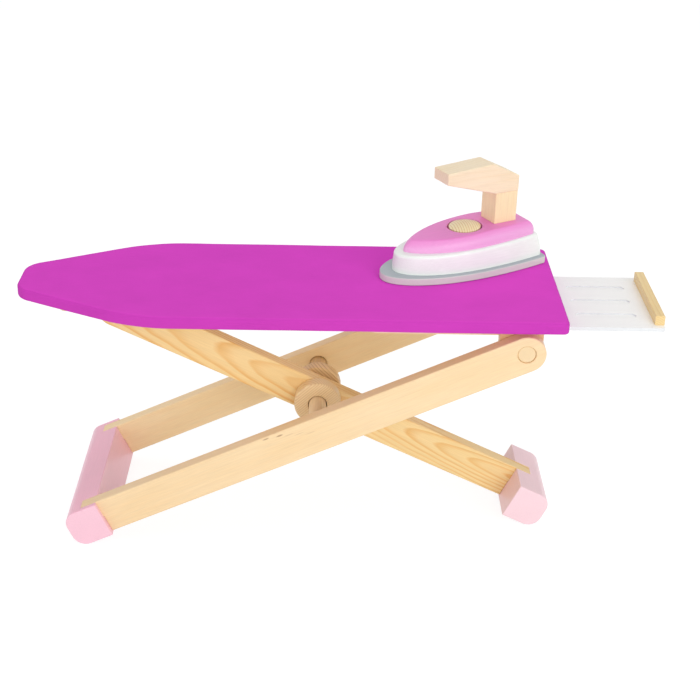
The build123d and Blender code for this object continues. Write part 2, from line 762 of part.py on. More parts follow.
# Upright post of the handle
with BuildPart() as iron_post:
    with BuildSketch(iron_plane(cap_top)):
        with Locations((post_middle_x, 0)):
            Rectangle(post_length, post_width)
    extrude(amount=post_height)
    chamfer(iron_post.edges().filter_by(Axis.Z), post_edge)
    add(iron_handle_dowels.part, mode=Mode.SUBTRACT)
finish(iron_post, "iron_post")

# Grip, cut from one board: a flat seat on the post, a rising underside and a sloping back
with BuildPart() as iron_grip:
    with BuildSketch(iron_side_plane(post_top)):
        with BuildLine():
            Polyline(
                (post_x + post_length, 0),
                (post_x + post_length, grip_back_rise),
                (grip_apex_x, grip_apex_rise),
                (grip_front_x, grip_front_rise + grip_front_height),
                (grip_front_x, grip_front_rise),
                (post_x, 0),
                close=True,
            )
        make_face()
    extrude(amount=grip_width / 2, both=True)
    fillet(iron_grip.edges(), grip_edge)
    add(iron_handle_dowels.part, mode=Mode.SUBTRACT)
finish(iron_grip, "iron_grip")
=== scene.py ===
# Toy ironing board: surfaces, cloth cover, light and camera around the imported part.
import math

import bmesh
import bpy
from mathutils import Matrix, Vector, noise


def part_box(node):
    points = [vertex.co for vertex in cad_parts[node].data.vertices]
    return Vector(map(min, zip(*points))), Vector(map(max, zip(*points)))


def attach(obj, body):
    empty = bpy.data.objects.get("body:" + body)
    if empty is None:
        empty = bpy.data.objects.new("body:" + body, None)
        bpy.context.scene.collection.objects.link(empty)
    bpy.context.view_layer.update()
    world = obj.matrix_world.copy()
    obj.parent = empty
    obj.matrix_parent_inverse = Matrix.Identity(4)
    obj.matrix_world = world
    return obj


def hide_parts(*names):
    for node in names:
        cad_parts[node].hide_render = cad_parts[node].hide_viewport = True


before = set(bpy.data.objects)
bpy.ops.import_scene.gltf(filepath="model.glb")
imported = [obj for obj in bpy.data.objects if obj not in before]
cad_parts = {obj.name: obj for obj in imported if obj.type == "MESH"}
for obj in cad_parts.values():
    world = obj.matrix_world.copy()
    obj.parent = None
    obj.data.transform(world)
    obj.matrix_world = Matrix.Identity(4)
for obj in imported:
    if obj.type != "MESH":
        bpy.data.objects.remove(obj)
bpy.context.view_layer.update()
mm = 0.001                        # a millimetre in metres; pieces are written in millimetres
touching = 0.01                   # places this close count as one
noiseLow, noiseHigh = 0.3, 0.7    # nearly all of a noise texture lies between these
print("frame loaded:", len(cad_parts), "nodes")


def paint(red, green, blue):
    # a colour as it looks on screen, 0 to 255, as the linear colour that a shader wants
    linear = []
    for share in (red / 255, green / 255, blue / 255):
        linear.append(share / 12.92 if share <= 0.04045 else ((share + 0.055) / 1.055) ** 2.4)
    return (*linear, 1.0)


# node helpers
def addNode(tree, kind, inputs=None, **settings):
    node = tree.nodes.new(kind)
    for key, value in settings.items():
        setattr(node, key, value)
    for key, value in (inputs or {}).items():
        if isinstance(value, bpy.types.NodeSocket):
            tree.links.new(value, node.inputs[key])
        else:
            node.inputs[key].default_value = value
    return node


def calc(tree, operation, first, second=0.0):
    return addNode(tree, "ShaderNodeMath", {0: first, 1: second}, operation=operation).outputs[0]


def times(tree, first, second):
    return calc(tree, "MULTIPLY", first, second)


def vectorCalc(tree, operation, first, second):
    return addNode(tree, "ShaderNodeVectorMath", {0: first, 1: second}, operation=operation).outputs[0]


def scaled(tree, colour, share):
    return addNode(tree, "ShaderNodeVectorMath", {0: colour, "Scale": share}, operation="SCALE").outputs[0]


def speckle(tree, vector, scale, detail=2.0, roughness=0.5):
    # noise from 0 to 1; scale is how often it changes in a metre, one number or one for each axis
    if isinstance(scale, tuple):
        vector, scale = vectorCalc(tree, "MULTIPLY", vector, scale), 1.0
    inputs = {"Vector": vector, "Scale": scale, "Detail": detail, "Roughness": roughness}
    return addNode(tree, "ShaderNodeTexNoise", inputs).outputs["Fac"]


def remap(tree, value, low, high, newLow, newHigh):
    inputs = {0: value, 1: low, 2: high, 3: newLow, 4: newHigh}
    return addNode(tree, "ShaderNodeMapRange", inputs).outputs[0]


def fromNoise(tree, value, newLow, newHigh):
    return remap(tree, value, noiseLow, noiseHigh, newLow, newHigh)


def blendColour(tree, share, first, second):
    return addNode(tree, "ShaderNodeMix", {0: share, 6: first, 7: second}, data_type="RGBA").outputs[2]


def bumped(tree, height, strength, distance):
    inputs = {"Height": height, "Strength": strength, "Distance": distance * mm}
    return addNode(tree, "ShaderNodeBump", inputs).outputs[0]


def lookingUp(tree):
    # 1 on faces that look up, 0 on upright faces, -1 on faces that look down
    facing = addNode(tree, "ShaderNodeNewGeometry").outputs["Normal"]
    return addNode(tree, "ShaderNodeSeparateXYZ", {0: facing}).outputs[2]


def seenDirectly(tree):
    # 1 for what is seen, also in a reflection or through glass, and 0 for light that bounces
    path = addNode(tree, "ShaderNodeLightPath").outputs
    seen = calc(tree, "MAXIMUM", path["Is Camera Ray"], path["Is Glossy Ray"])
    return calc(tree, "MAXIMUM", seen, path["Is Transmission Ray"])


def newMaterial(name, roughness, **fixed):
    material = bpy.data.materials.new(name)
    material.use_nodes = True
    tree = material.node_tree
    shader = tree.nodes["Principled BSDF"]
    shader.inputs["Roughness"].default_value = roughness
    for key, value in fixed.items():
        shader.inputs[key].default_value = value
    return material, tree, shader


def connect(tree, shader, colour, gloss=None, normal=None):
    for socket, value in (("Base Color", colour), ("Roughness", gloss), ("Normal", normal)):
        if value is not None:
            tree.links.new(value, shader.inputs[socket])


def grainTurn(along, across):
    # degrees that turn X along the grain and Z across the rings
    x, z = Vector(along).normalized(), Vector(across).normalized()
    y = z.cross(x).normalized()
    euler = Matrix((x, y, x.cross(y))).transposed().to_euler()
    return [math.degrees(angle) for angle in euler]


def localSpace(tree, origin=(0, 0, 0), turn=(0, 0, 0)):
    # object coordinates, moved and turned so that local X runs along the grain
    place = addNode(tree, "ShaderNodeTexCoord").outputs["Object"]
    inputs = {"Vector": place, "Location": [v * mm for v in origin],
              "Rotation": [math.radians(angle) for angle in turn]}
    return addNode(tree, "ShaderNodeMapping", inputs, vector_type="TEXTURE").outputs[0]


# Wood is cut out of a ringed trunk. pith is where the trunk's middle lies beside the piece,
# lean how far it tilts along the piece, ring the width of a year, all in millimetres.
grain = {
    # how often each pattern changes in a metre: along the grain, then twice across it
    "wander": (7, 18, 18), "ripple": (26, 60, 60), "year": (5, 40, 40), "patch": (12, 45, 45),
    "fibre": (45, 1300, 1300),
    # how much they do: the noise range that bends the rings, and shares of colour and gloss
    "bendRange": (0.2, 0.8), "rippleShare": 0.22, "yearShade": (0.35, 1.0), "fibreShade": (0.93, 1.03),
    "warmth": (0.97, 0.93, 0.84), "gloss": (-0.06, 0.1), "reliefDepth": 0.4, "seedWay": (1, 0.7, 1.3),
    # place within a year, and how dark its wood is there
    "late": ((0.45, 0.12), (0.74, 0.75), (0.86, 1.0), (0.93, 0.55)), "lastLevel": 0.05,
    "fleck": (150, 96, 52), "fleckEdge": (0.6, 1.3), "fleckRipple": 0.25,
}


def wood(name, origin, turn, pith, ring, lean=0.0, warp=1.6, light=(250, 224, 178), dark=(226, 182, 112),
         contrast=0.5, mottle=0.35, roughness=0.42, relief=0.12, seed=0.0, flecks=()):
    material, tree, shader = newMaterial(name, roughness, **{"Coat Weight": 0.12, "Coat Roughness": 0.3})
    along = localSpace(tree, origin, turn)
    shifted = vectorCalc(tree, "ADD", along, [seed * way for way in grain["seedWay"]])
    x, y, z = addNode(tree, "ShaderNodeSeparateXYZ", {0: along}).outputs[:3]
    wander = remap(tree, speckle(tree, shifted, grain["wander"]), *grain["bendRange"], -1, 1)
    ripple = remap(tree, speckle(tree, shifted, grain["ripple"], detail=3.0), *grain["bendRange"], -1, 1)
    across = calc(tree, "ADD", times(tree, x, lean), calc(tree, "SUBTRACT", y, pith[0] * mm))
    upward = calc(tree, "SUBTRACT", z, pith[1] * mm)
    reach = calc(tree, "SQRT", calc(tree, "ADD", times(tree, across, across), times(tree, upward, upward)))
    reach = calc(tree, "ADD", reach, times(tree, wander, warp * mm))
    reach = calc(tree, "ADD", reach, times(tree, ripple, warp * grain["rippleShare"] * mm))
    phase = calc(tree, "FRACT", times(tree, reach, 1000 / ring))
    band = addNode(tree, "ShaderNodeValToRGB", {"Fac": phase})
    ramp = band.color_ramp
    last = grain["lastLevel"]
    ramp.elements[0].position, ramp.elements[0].color = 0.0, (0, 0, 0, 1)
    ramp.elements[1].position, ramp.elements[1].color = 1.0, (last, last, last, 1)
    for position, level in grain["late"]:
        element = ramp.elements.new(position)
        element.color = (level, level, level, 1)
    yearShade = fromNoise(tree, speckle(tree, shifted, grain["year"], detail=1.0), *grain["yearShade"])
    late = times(tree, times(tree, band.outputs["Color"], yearShade), contrast)
    base = blendColour(tree, late, paint(*light), paint(*dark))
    fibre = speckle(tree, shifted, grain["fibre"], detail=3.0, roughness=0.6)
    patch = fromNoise(tree, speckle(tree, shifted, grain["patch"]), 0, 1)
    warmLight = [channel * share for channel, share in zip(light, grain["warmth"])]
    coloured = blendColour(tree, times(tree, patch, mottle), base, paint(*warmLight))
    coloured = scaled(tree, coloured, fromNoise(tree, fibre, *grain["fibreShade"]))
    for fleckX, fleckZ, halfLength, halfHeight, strength in flecks:
        away = vectorCalc(tree, "SUBTRACT", along, (fleckX * mm, 0, fleckZ * mm))
        away = vectorCalc(tree, "MULTIPLY", away, (1000 / halfLength, 0, 1000 / halfHeight))
        far = addNode(tree, "ShaderNodeVectorMath", {0: away}, operation="LENGTH").outputs["Value"]
        far = calc(tree, "ADD", far, times(tree, ripple, grain["fleckRipple"]))
        share = remap(tree, far, *grain["fleckEdge"], strength, 0)
        coloured = blendColour(tree, share, coloured, paint(*grain["fleck"]))
    gloss = fromNoise(tree, fibre, *[roughness + change for change in grain["gloss"]])
    height = calc(tree, "ADD", times(tree, late, 0.5), times(tree, fibre, 0.5))
    connect(tree, shader, coloured, gloss, bumped(tree, height, relief, grain["reliefDepth"]))
    return material


# Lacquer over wood: even colour with the faintest grain under it and a soft shine. Upright faces may
# have a colour of their own, which is painted light and shade: lighter or darker than the tops.
film = {
    "fibre": (40, 700, 700), "cloud": 24.0, "peel": 900.0, "wornRange": (0.35, 0.75), "cloudLift": 0.4,
    "sideTo": 0.35, "topFrom": 0.95, "gloss": (-0.04, 0.06), "bump": 0.06, "bumpDepth": 0.3,
    "bumpFibre": 0.6, "bumpPeel": 0.4,
}


def lacquer(name, colour, roughness=0.38, turn=(0, 0, 0), worn=0.05, coat=0.25, mottle=0.03,
            sideLightShadeColour=None):
    material, tree, shader = newMaterial(name, roughness, **{"Coat Weight": coat, "Coat Roughness": 0.22})
    along = localSpace(tree, turn=turn)
    fibre = speckle(tree, along, film["fibre"], detail=3.0, roughness=0.6)
    cloudy = speckle(tree, along, film["cloud"])
    shade = times(tree, fromNoise(tree, cloudy, 1 - mottle, 1 + mottle * film["cloudLift"]),
                  remap(tree, fibre, *film["wornRange"], 1 - worn, 1.0))
    # painted light and shade: faces that look up take the top colour, upright faces the side colour, as
    # light would fall on them
    top = remap(tree, lookingUp(tree), film["sideTo"], film["topFrom"], 0, 1)
    sideLitTone = blendColour(tree, top, paint(*(sideLightShadeColour or colour)), paint(*colour))
    gloss = fromNoise(tree, cloudy, *[roughness + change for change in film["gloss"]])
    peel = speckle(tree, along, film["peel"])
    height = calc(tree, "ADD", times(tree, fibre, film["bumpFibre"]), times(tree, peel, film["bumpPeel"]))
    normal = bumped(tree, height, film["bump"], film["bumpDepth"])
    connect(tree, shader, scaled(tree, sideLitTone, shade), gloss, normal)
    return material


# Woven cotton, read from the cover's own UV map, which is in metres
weave = {
    "thread": 0.42, "slub": (30, 900, 1), "slubTurn": 1.2, "cloud": (16, 22, 1), "yarn": (60, 1500, 1),
    "cloudShade": (0.97, 1.03), "yarnShade": (0.97, 1.02), "threadShade": (0.96, 1.02), "bump": 0.25,
    "bumpDepth": 0.1, "roughness": 0.9,
    "paintedDropFrom": 0.75, "paintedDropShade": 0.81,   # painted shade: the drop at the sides is darkened to even it with the light on the top
}


def cotton(name, colour):
    material, tree, shader = newMaterial(name, weave["roughness"], **{
        "Sheen Weight": 0.06, "Sheen Roughness": 0.5, "Sheen Tint": (1.0, 0.5, 0.9, 1.0),
        "Specular IOR Level": 0.05})
    flat = addNode(tree, "ShaderNodeTexCoord").outputs["UV"]
    u, v = addNode(tree, "ShaderNodeSeparateXYZ", {0: flat}).outputs[:2]
    turns = 2 * math.pi * 1000 / weave["thread"]
    slub = fromNoise(tree, speckle(tree, flat, weave["slub"]), -weave["slubTurn"], weave["slubTurn"])
    warpLine = calc(tree, "SINE", calc(tree, "ADD", times(tree, u, turns), slub))
    weftLine = calc(tree, "SINE", calc(tree, "ADD", times(tree, v, turns), slub))
    threads = times(tree, warpLine, weftLine)
    cloudy = fromNoise(tree, speckle(tree, flat, weave["cloud"], detail=3.0), *weave["cloudShade"])
    yarn = fromNoise(tree, speckle(tree, flat, weave["yarn"]), *weave["yarnShade"])
    shade = times(tree, times(tree, cloudy, yarn), remap(tree, threads, -1, 1, *weave["threadShade"]))
    # painted shade: the drop's upright faces are darkened, so that they look no lighter than the top
    drop = remap(tree, lookingUp(tree), weave["paintedDropFrom"], 1.0, weave["paintedDropShade"], 1.0)
    shade = times(tree, shade, drop)
    normal = bumped(tree, threads, weave["bump"], weave["bumpDepth"])
    connect(tree, shader, scaled(tree, paint(*colour)[:3], shade), normal=normal)
    return material


# Pressed felt, and the brushed zinc of the screws
pile = {"roughness": 0.95, "hair": 900.0, "hairShade": (0.88, 1.0), "bump": 0.5, "bumpDepth": 0.5}
plating = {
    "roughness": 0.35, "brush": (900, 900, 90), "dark": (180, 184, 188), "light": (210, 212, 214),
    "gloss": (0.28, 0.42),
}


def felt(name, colour):
    material, tree, shader = newMaterial(name, pile["roughness"], **{"Sheen Weight": 0.4})
    hairs = speckle(tree, localSpace(tree), pile["hair"], detail=4.0, roughness=0.7)
    coloured = scaled(tree, paint(*colour)[:3], fromNoise(tree, hairs, *pile["hairShade"]))
    connect(tree, shader, coloured, normal=bumped(tree, hairs, pile["bump"], pile["bumpDepth"]))
    return material


def zinc(name):
    material, tree, shader = newMaterial(name, plating["roughness"], **{"Metallic": 1.0})
    brushed = speckle(tree, localSpace(tree), plating["brush"])
    coloured = blendColour(tree, brushed, paint(*plating["dark"]), paint(*plating["light"]))
    connect(tree, shader, coloured, fromNoise(tree, brushed, *plating["gloss"]))
    return material


# Places that several pieces share, in millimetres and degrees
pivot = {
    "topX": 245.0, "topZ": 234.7, "crossX": 31.3, "crossZ": 136.9, "outerTurn": -24.6, "centreTurn": 25.6,
    "outerLegY": 82,
}
ironPlace = {"tipX": 98.0, "tipY": 1.8, "turn": 28.5}
crossing = (pivot["crossX"], 0, pivot["crossZ"])

materials = {
    "outerLegFront": wood("pineOuterFront", (pivot["topX"], -pivot["outerLegY"], pivot["topZ"]),
                          (0, pivot["outerTurn"], 0), pith=(46, -60), ring=5.2, lean=0.012, contrast=0.2,
                          light=(250, 221, 177), dark=(240, 198, 140), seed=3.1,
                          # along the leg, up, half length, half height, strength
                          flecks=[(-286, 17.4, 3.4, 0.8, 0.6), (-271, 15.4, 3.6, 1.0, 0.6),
                                  (-261, 12.6, 6.0, 0.6, 0.22), (-251, 9.4, 6.0, 0.6, 0.2),
                                  (-240, 5.8, 6.0, 0.6, 0.18)]),
    # painted light: the rear leg's pine is made lighter than the front leg's, to make up for the shade
    # under the board
    "outerLegRearLightened": wood("pineOuterRearLightened", (pivot["topX"], pivot["outerLegY"], pivot["topZ"]),
                         (0, pivot["outerTurn"], 0), pith=(52, 30), ring=4.6, lean=0.02, contrast=0.24,
                         light=(255, 229, 182), dark=(248, 202, 142), seed=7.7),
    "centreLeg": wood("pineCentre", crossing, (0, pivot["centreTurn"], 0), pith=(18, 7), ring=4.2,
                      lean=0.09, contrast=0.95, light=(251, 220, 160), dark=(231, 166, 72), warp=2.2,
                      seed=1.4),
    "underWood": wood("pineUnder", (0, 0, 240), (0, 0, 0), pith=(40, 120), ring=3.8, contrast=0.3,
                      seed=5.2),
    "dowelWood": wood("beechDowel", (0, 0, 0), (0, 0, 90), pith=(30, 90), ring=1.8, contrast=0.35,
                      light=(246, 222, 182), dark=(216, 178, 128), seed=2.2),
    "discFront": wood("discEndGrainFront", crossing, grainTurn((0.65, 0, 0.6), (0.6, 0.45, -0.65)),
                      pith=(0, -190), ring=2.2, contrast=0.75, light=(252, 226, 180), dark=(206, 156, 98),
                      warp=0.35, relief=0.4, seed=9.3),
    "discRear": wood("discEndGrainRear", crossing, grainTurn((1, 0, -1), (1, 0.25, 1)), pith=(0, -150),
                     ring=2.9, contrast=0.85, light=(244, 212, 160), dark=(180, 130, 70), warp=0.35,
                     relief=0.4, seed=4.4),
    "blockWood": wood("pineBlock", (pivot["topX"], 0, pivot["topZ"]), (0, 0, 0), pith=(20, 60), ring=3.0,
                      contrast=0.3, light=(240, 200, 150), dark=(214, 160, 104), seed=6.0),
    "barWood": wood("pineBar", (385, 0, 261), (0, 0, 90), pith=(14, -24), ring=2.2, contrast=0.6,
                    light=(243, 215, 156), dark=(222, 176, 104), seed=8.1),
    "dialWood": wood("dialEndGrain", (187.6, 50.5, 320), grainTurn((0, 0, 1), (0.97, 0.23, 0)),
                     pith=(0, -160), ring=2.7, contrast=1.0, light=(255, 246, 204), dark=(214, 156, 84),
                     warp=0.3, relief=0.6, seed=2.9),
    "postWood": wood("pinePost", (220, 68, 330), (0, -90, ironPlace["turn"]), pith=(30, -40), ring=3.4,
                     contrast=0.2, light=(252, 233, 190), dark=(242, 210, 152), seed=1.9),
    "gripWood": wood("pineGrip", (200, 56, 375), (0, 4, ironPlace["turn"]), pith=(34, -22), ring=3.6,
                     lean=0.05, contrast=0.28, light=(250, 232, 202), dark=(236, 204, 150), seed=3.7),
    "panelWood": wood("plywood", (0, 0, 268), (0, 0, 0), pith=(10, -260), ring=9.0, contrast=0.25,
                      light=(236, 206, 158), dark=(214, 176, 120), seed=1.1),
    # painted light and shade: the left foot is painted darker than the right, its upright faces lighter
    # than its top
    "leftFootShadedPaint": lacquer("pinkLeftFootShaded", (255, 190, 212), turn=(0, 0, 90), sideLightShadeColour=(255, 206, 222)),
    "rightFootLitPaint": lacquer("pinkRightFootLit", (255, 220, 228), turn=(0, 0, 90)),
    # painted light and shade: the side colours of the tray, sole, body and cap make upright faces darker
    # or lighter than tops
    "trayPaint": lacquer("whiteTray", (255, 255, 254), roughness=0.34, worn=0.02, mottle=0.01,
                         sideLightShadeColour=(234, 237, 239)),
    "solePaint": lacquer("greySole", (171, 179, 185), roughness=0.46, coat=0.1,
                         turn=(0, 0, ironPlace["turn"]), sideLightShadeColour=(216, 220, 210)),
    # painted light: the white body is tinted faintly green, its upright faces more, to offset pink light
    # bounced from the cover
    "bodyPaint": lacquer("whiteBody", (243, 248, 243), roughness=0.32, turn=(0, 0, ironPlace["turn"]),
                         sideLightShadeColour=(246, 252, 246)),
    "capPaint": lacquer("pinkCap", (241, 136, 211), roughness=0.44, coat=0.12,
                        turn=(0, 0, ironPlace["turn"]), sideLightShadeColour=(242, 172, 224)),
    "cover": cotton("magentaCotton", (226, 72, 205)),
    "felt": felt("whiteFelt", (232, 230, 224)),
    "zinc": zinc("zincScrew"),
}
print("materials made:", len(materials))

# CAD nodes that keep their shape get their material, and edges softened by this many millimetres
nodeDress = (
    ("board_panel", "panelWood", 0),
    ("hinge_block_front", "blockWood", 0.3),
    ("hinge_block_rear", "blockWood", 0.3),
    ("top_pivot_dowel", "dowelWood", 0.15),
    ("centre_pivot_dowel", "dowelWood", 0),
    ("leg_end_dowel", "dowelWood", 0),
    ("tray_runner_front", "underWood", 0.3),
    ("tray_runner_rear", "underWood", 0.3),
    ("tray_stop_strip", "underWood", 0.3),
    ("leg_rail_front", "underWood", 0.3),
    ("leg_rail_rear", "underWood", 0.3),
    ("panel_screws", "zinc", 0),
    ("outer_leg_front", "outerLegFront", 0.25),
    ("outer_leg_rear", "outerLegRearLightened", 0.25),
    ("left_foot_bar", "leftFootShadedPaint", 0.5),
    ("right_foot_bar", "rightFootLitPaint", 0.5),
    ("centre_leg", "centreLeg", 0.25),
    ("spacer_disc_front", "discFront", 0.3),
    ("spacer_disc_rear", "discRear", 0.3),
    ("tray_panel", "trayPaint", 0.4),
    ("tray_end_bar", "barWood", 0.25),
    ("tray_bar_pins", "dowelWood", 0),
    ("tray_stop_pegs", "dowelWood", 0.4),
    ("iron_sole", "solePaint", 0.3),
    ("iron_body", "bodyPaint", 0.3),
    ("iron_cap", "capPaint", 0.3),
    ("iron_dial", "dialWood", 0.3),
    ("iron_dial_pin", "dowelWood", 0),
    ("iron_post", "postWood", 0.3),
    ("iron_grip", "gripWood", 0),
    ("iron_handle_dowels", "dowelWood", 0),
    ("iron_sole_screws", "zinc", 0),
)
dressing = {"weld": 0.01, "flatAngle": 0.4, "segments": 2, "edgeAngle": 35}


def keepFlat(piece):
    flatten = piece.modifiers.new("flatFaces", "WEIGHTED_NORMAL")
    flatten.keep_sharp = True


def dressNode(name, finish, soften):
    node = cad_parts[name]
    node.data.materials.clear()
    node.data.materials.append(materials[finish])
    node.data.shade_smooth()
    weld = node.modifiers.new("weld", "WELD")
    weld.merge_threshold = dressing["weld"] * mm
    flat = node.modifiers.new("flatAreas", "DECIMATE")     # joins the triangles of each flat face
    flat.decimate_type = "DISSOLVE"
    flat.angle_limit = math.radians(dressing["flatAngle"])
    if soften:
        edge = node.modifiers.new("softEdge", "BEVEL")
        edge.width = soften * mm
        edge.segments = dressing["segments"]
        edge.limit_method = "ANGLE"
        edge.angle_limit = math.radians(dressing["edgeAngle"])
    keepFlat(node)


for nodeName, finish, soften in nodeDress:
    dressNode(nodeName, finish, soften)
print("nodes dressed:", len(nodeDress))


def meshObject(name, bm, material):
    mesh = bpy.data.meshes.new(name)
    bm.to_mesh(mesh)
    bm.free()
    mesh.materials.append(material)
    mesh.shade_smooth()
    piece = bpy.data.objects.new(name, mesh)
    bpy.context.scene.collection.objects.link(piece)
    return piece


# Cloth cover: a sheet drawn over the padded board and turned under it in a hem
cover = {
    "length": 570, "width": 200, "noseWidth": 62, "taper": 131, "endCorner": 7, "noseCorner": 24,
    "shoulder": 140, "leastCorner": 1, "cornerSegments": 10, "edgeRound": 3.2, "edgeSegments": 5,
    "lowerRound": 1.2, "lowerSegments": 3,
    "hem": 20, "hemPoint": 0.2, "merge": 1.0, "cloth": 0.7, "clothArea": 0.150,
    "grid": 7, "dropLoops": (4.2, 6.8), "sliceReach": 0.02, "topBand": 0.05, "sideLean": 0.3,
    "rimTurn": 0.5, "underLean": 0.99,
    # wrinkles: their lengths along x, y and z, how deep they go, and the fine ones' share in them
    "broad": (55, 38, 30), "fine": (14, 14, 9), "fineShift": 9, "topWave": 0.22, "topFine": 0.15,
    "sideWave": 0.35, "sideFine": 0.2, "hemWave": 0.9, "hemGather": (0.42, 0.37), "hemDrift": 0.5,
}


def boardPrism(bm, inset, low, high):
    # the board's outline as a prism, with its corners rounded by bevels of the six upright edges
    halfLength, halfWidth = cover["length"] / 2, cover["width"] / 2
    taperX = cover["taper"] - halfLength
    slant = math.atan2(halfWidth - cover["noseWidth"] / 2, cover["taper"])
    back = inset * math.tan(slant / 2)          # an even inset moves the slanted sides' ends by this
    noseBack = inset * math.tan((math.pi / 2 - slant) / 2)
    corners = [
        (halfLength - inset, halfWidth - inset, cover["endCorner"], math.pi / 2),
        (taperX + back, halfWidth - inset, cover["shoulder"], slant),
        (inset - halfLength, cover["noseWidth"] / 2 - noseBack, cover["noseCorner"], math.pi / 2 - slant),
    ]
    corners += [(x, -y, radius, bend) for x, y, radius, bend in reversed(corners)]
    rim = [bm.verts.new((x * mm, y * mm, low * mm)) for x, y, radius, bend in corners]
    bottom = bm.faces.new(rim)
    top = bmesh.ops.extrude_face_region(bm, geom=[bottom])
    raised = [item for item in top["geom"] if isinstance(item, bmesh.types.BMVert)]
    bmesh.ops.translate(bm, verts=raised, vec=(0, 0, (high - low) * mm))
    bmesh.ops.recalc_face_normals(bm, faces=bm.faces)
    for x, y, radius, bend in corners:
        upright = [edge for edge in bm.edges
                   if all(abs(v.co.x - x * mm) + abs(v.co.y - y * mm) < touching * mm for v in edge.verts)]
        reach = max(radius - inset, cover["leastCorner"]) * math.tan(bend / 2)
        bmesh.ops.bevel(bm, geom=upright, offset=reach * mm, segments=cover["cornerSegments"],
                        profile=0.5, affect="EDGES", material=-1, clamp_overlap=False)
    return bm


def roundRim(bm, level, radius, segments):
    # rounds the edge that runs round the board at this level
    rim = [edge for edge in bm.edges if len(edge.link_faces) == 2
           and all(abs(v.co.z - level * mm) < touching * mm for v in edge.verts)
           and abs(edge.link_faces[0].normal.z - edge.link_faces[1].normal.z) > cover["rimTurn"]]
    bmesh.ops.bevel(bm, geom=rim, offset=radius * mm, segments=segments, profile=0.5, affect="EDGES",
                    material=-1)


def sliceAt(bm, axis, place):
    point, normal = Vector((0, 0, 0)), Vector((0, 0, 0))
    point[axis], normal[axis] = place * mm, 1
    bmesh.ops.bisect_plane(bm, geom=bm.verts[:] + bm.edges[:] + bm.faces[:], dist=cover["sliceReach"] * mm,
                           plane_co=point, plane_no=normal)


def sliceGrid(bm, step):
    for axis, half in ((0, cover["length"] / 2), (1, cover["width"] / 2)):
        place = step - half
        while place < half - step / 2:
            sliceAt(bm, axis, place)
            place += step


def underFace(bm):
    lookDown = [face for face in bm.faces if face.normal.z < -cover["underLean"]]
    return max(lookDown, key=lambda face: face.calc_area())


def insetUnder(bm, distance):
    under = underFace(bm)
    bmesh.ops.inset_region(bm, faces=[under], thickness=distance * mm, depth=0, use_even_offset=True)
    return under


def wrinkle(place, lengths, shift=0):
    return noise.noise(Vector((place.x / lengths[0] + shift, place.y / lengths[1], place.z / lengths[2])))


def makeCover():
    low, high = (corner.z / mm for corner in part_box("cover_cloth"))
    bm = boardPrism(bmesh.new(), 0, low, high)
    roundRim(bm, high, cover["edgeRound"], cover["edgeSegments"])
    roundRim(bm, low, cover["lowerRound"], cover["lowerSegments"])
    # the hem goes in by two steps, because at the end of the first the end corners shrink to points
    toPoint = cover["endCorner"] - cover["lowerRound"] - cover["hemPoint"]
    under = insetUnder(bm, toPoint)
    bmesh.ops.remove_doubles(bm, verts=list(under.verts), dist=cover["merge"] * mm)
    bm.normal_update()
    under = insetUnder(bm, cover["hem"] - toPoint)
    bmesh.ops.delete(bm, geom=[under], context="FACES")
    sliceGrid(bm, cover["grid"])
    for height in cover["dropLoops"]:
        sliceAt(bm, 2, low + height)
    bm.normal_update()
    layer = bm.loops.layers.uv.new("cloth")
    for face in bm.faces:
        for loop in face.loops:
            place = loop.vert.co
            drop = high * mm - place.z
            if abs(face.normal.y) > cover["sideLean"]:
                loop[layer].uv = (place.x, place.y + math.copysign(1, place.y) * drop)
            else:
                loop[layer].uv = (place.x + math.copysign(drop, place.x), place.y)
    hemEdge = set()
    for edge in bm.edges:
        if len(edge.link_faces) == 1:
            hemEdge.update(edge.verts)
    gatherX, gatherY = cover["hemGather"]
    for vert in bm.verts:
        place = vert.co / mm
        broad = wrinkle(place, cover["broad"])
        fine = wrinkle(place, cover["fine"], cover["fineShift"])
        if vert in hemEdge:
            gather = math.sin(place.x * gatherX) * math.sin(place.y * gatherY + 1)
            vert.co.z -= abs(gather) * cover["hemWave"] * mm
            vert.co += Vector((cover["hemDrift"] * fine, cover["hemDrift"] * broad, 0)) * mm
        elif place.z > high - cover["topBand"]:
            vert.co.z -= (0.5 + 0.5 * broad + cover["topFine"] * fine) * cover["topWave"] * mm
        else:
            depth = (0.5 + 0.5 * broad + cover["sideFine"] * fine) * cover["sideWave"]
            vert.co -= vert.normal * depth * mm
    piece = meshObject("coverCloth", bm, materials["cover"])
    wall = piece.modifiers.new("cloth", "SOLIDIFY")
    wall.thickness, wall.offset = cover["cloth"] * mm, -1
    return piece


coverCloth = makeCover()
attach(coverCloth, "board")
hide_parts("cover_cloth")
print("cover made")

# Felt padding under the cloth
padding = {
    "inset": 1.4, "edgeRound": 1.6, "edgeSegments": 4, "grid": 14, "topBand": 0.05,
    "dent": 0.2, "dentLength": 40, "dentSeed": 3,
}


def makePadding():
    low, high = (corner.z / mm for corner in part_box("padding"))
    bm = boardPrism(bmesh.new(), padding["inset"], low, high)
    roundRim(bm, high, padding["edgeRound"], padding["edgeSegments"])
    sliceGrid(bm, padding["grid"])
    for vert in bm.verts:
        if vert.co.z > (high - padding["topBand"]) * mm:
            x, y = (way / mm / padding["dentLength"] for way in vert.co[:2])
            soft = noise.noise(Vector((x, y, padding["dentSeed"])))
            vert.co.z -= (0.5 + 0.5 * soft) * padding["dent"] * mm
    return meshObject("feltPadding", bm, materials["felt"])


feltPadding = makePadding()
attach(feltPadding, "board")
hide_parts("padding")
print("padding made")


# The iron's painted pieces: rings of one outline, in millimetres from the tip of the sole
ironForm = {
    "soleLow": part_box("iron_sole")[0].z / mm, "soleTop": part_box("iron_sole")[1].z / mm,
    "noseSteps": 26, "sideSteps": 16, "cornerSteps": 6, "heelSteps": 3, "sharpAngle": 32,
}


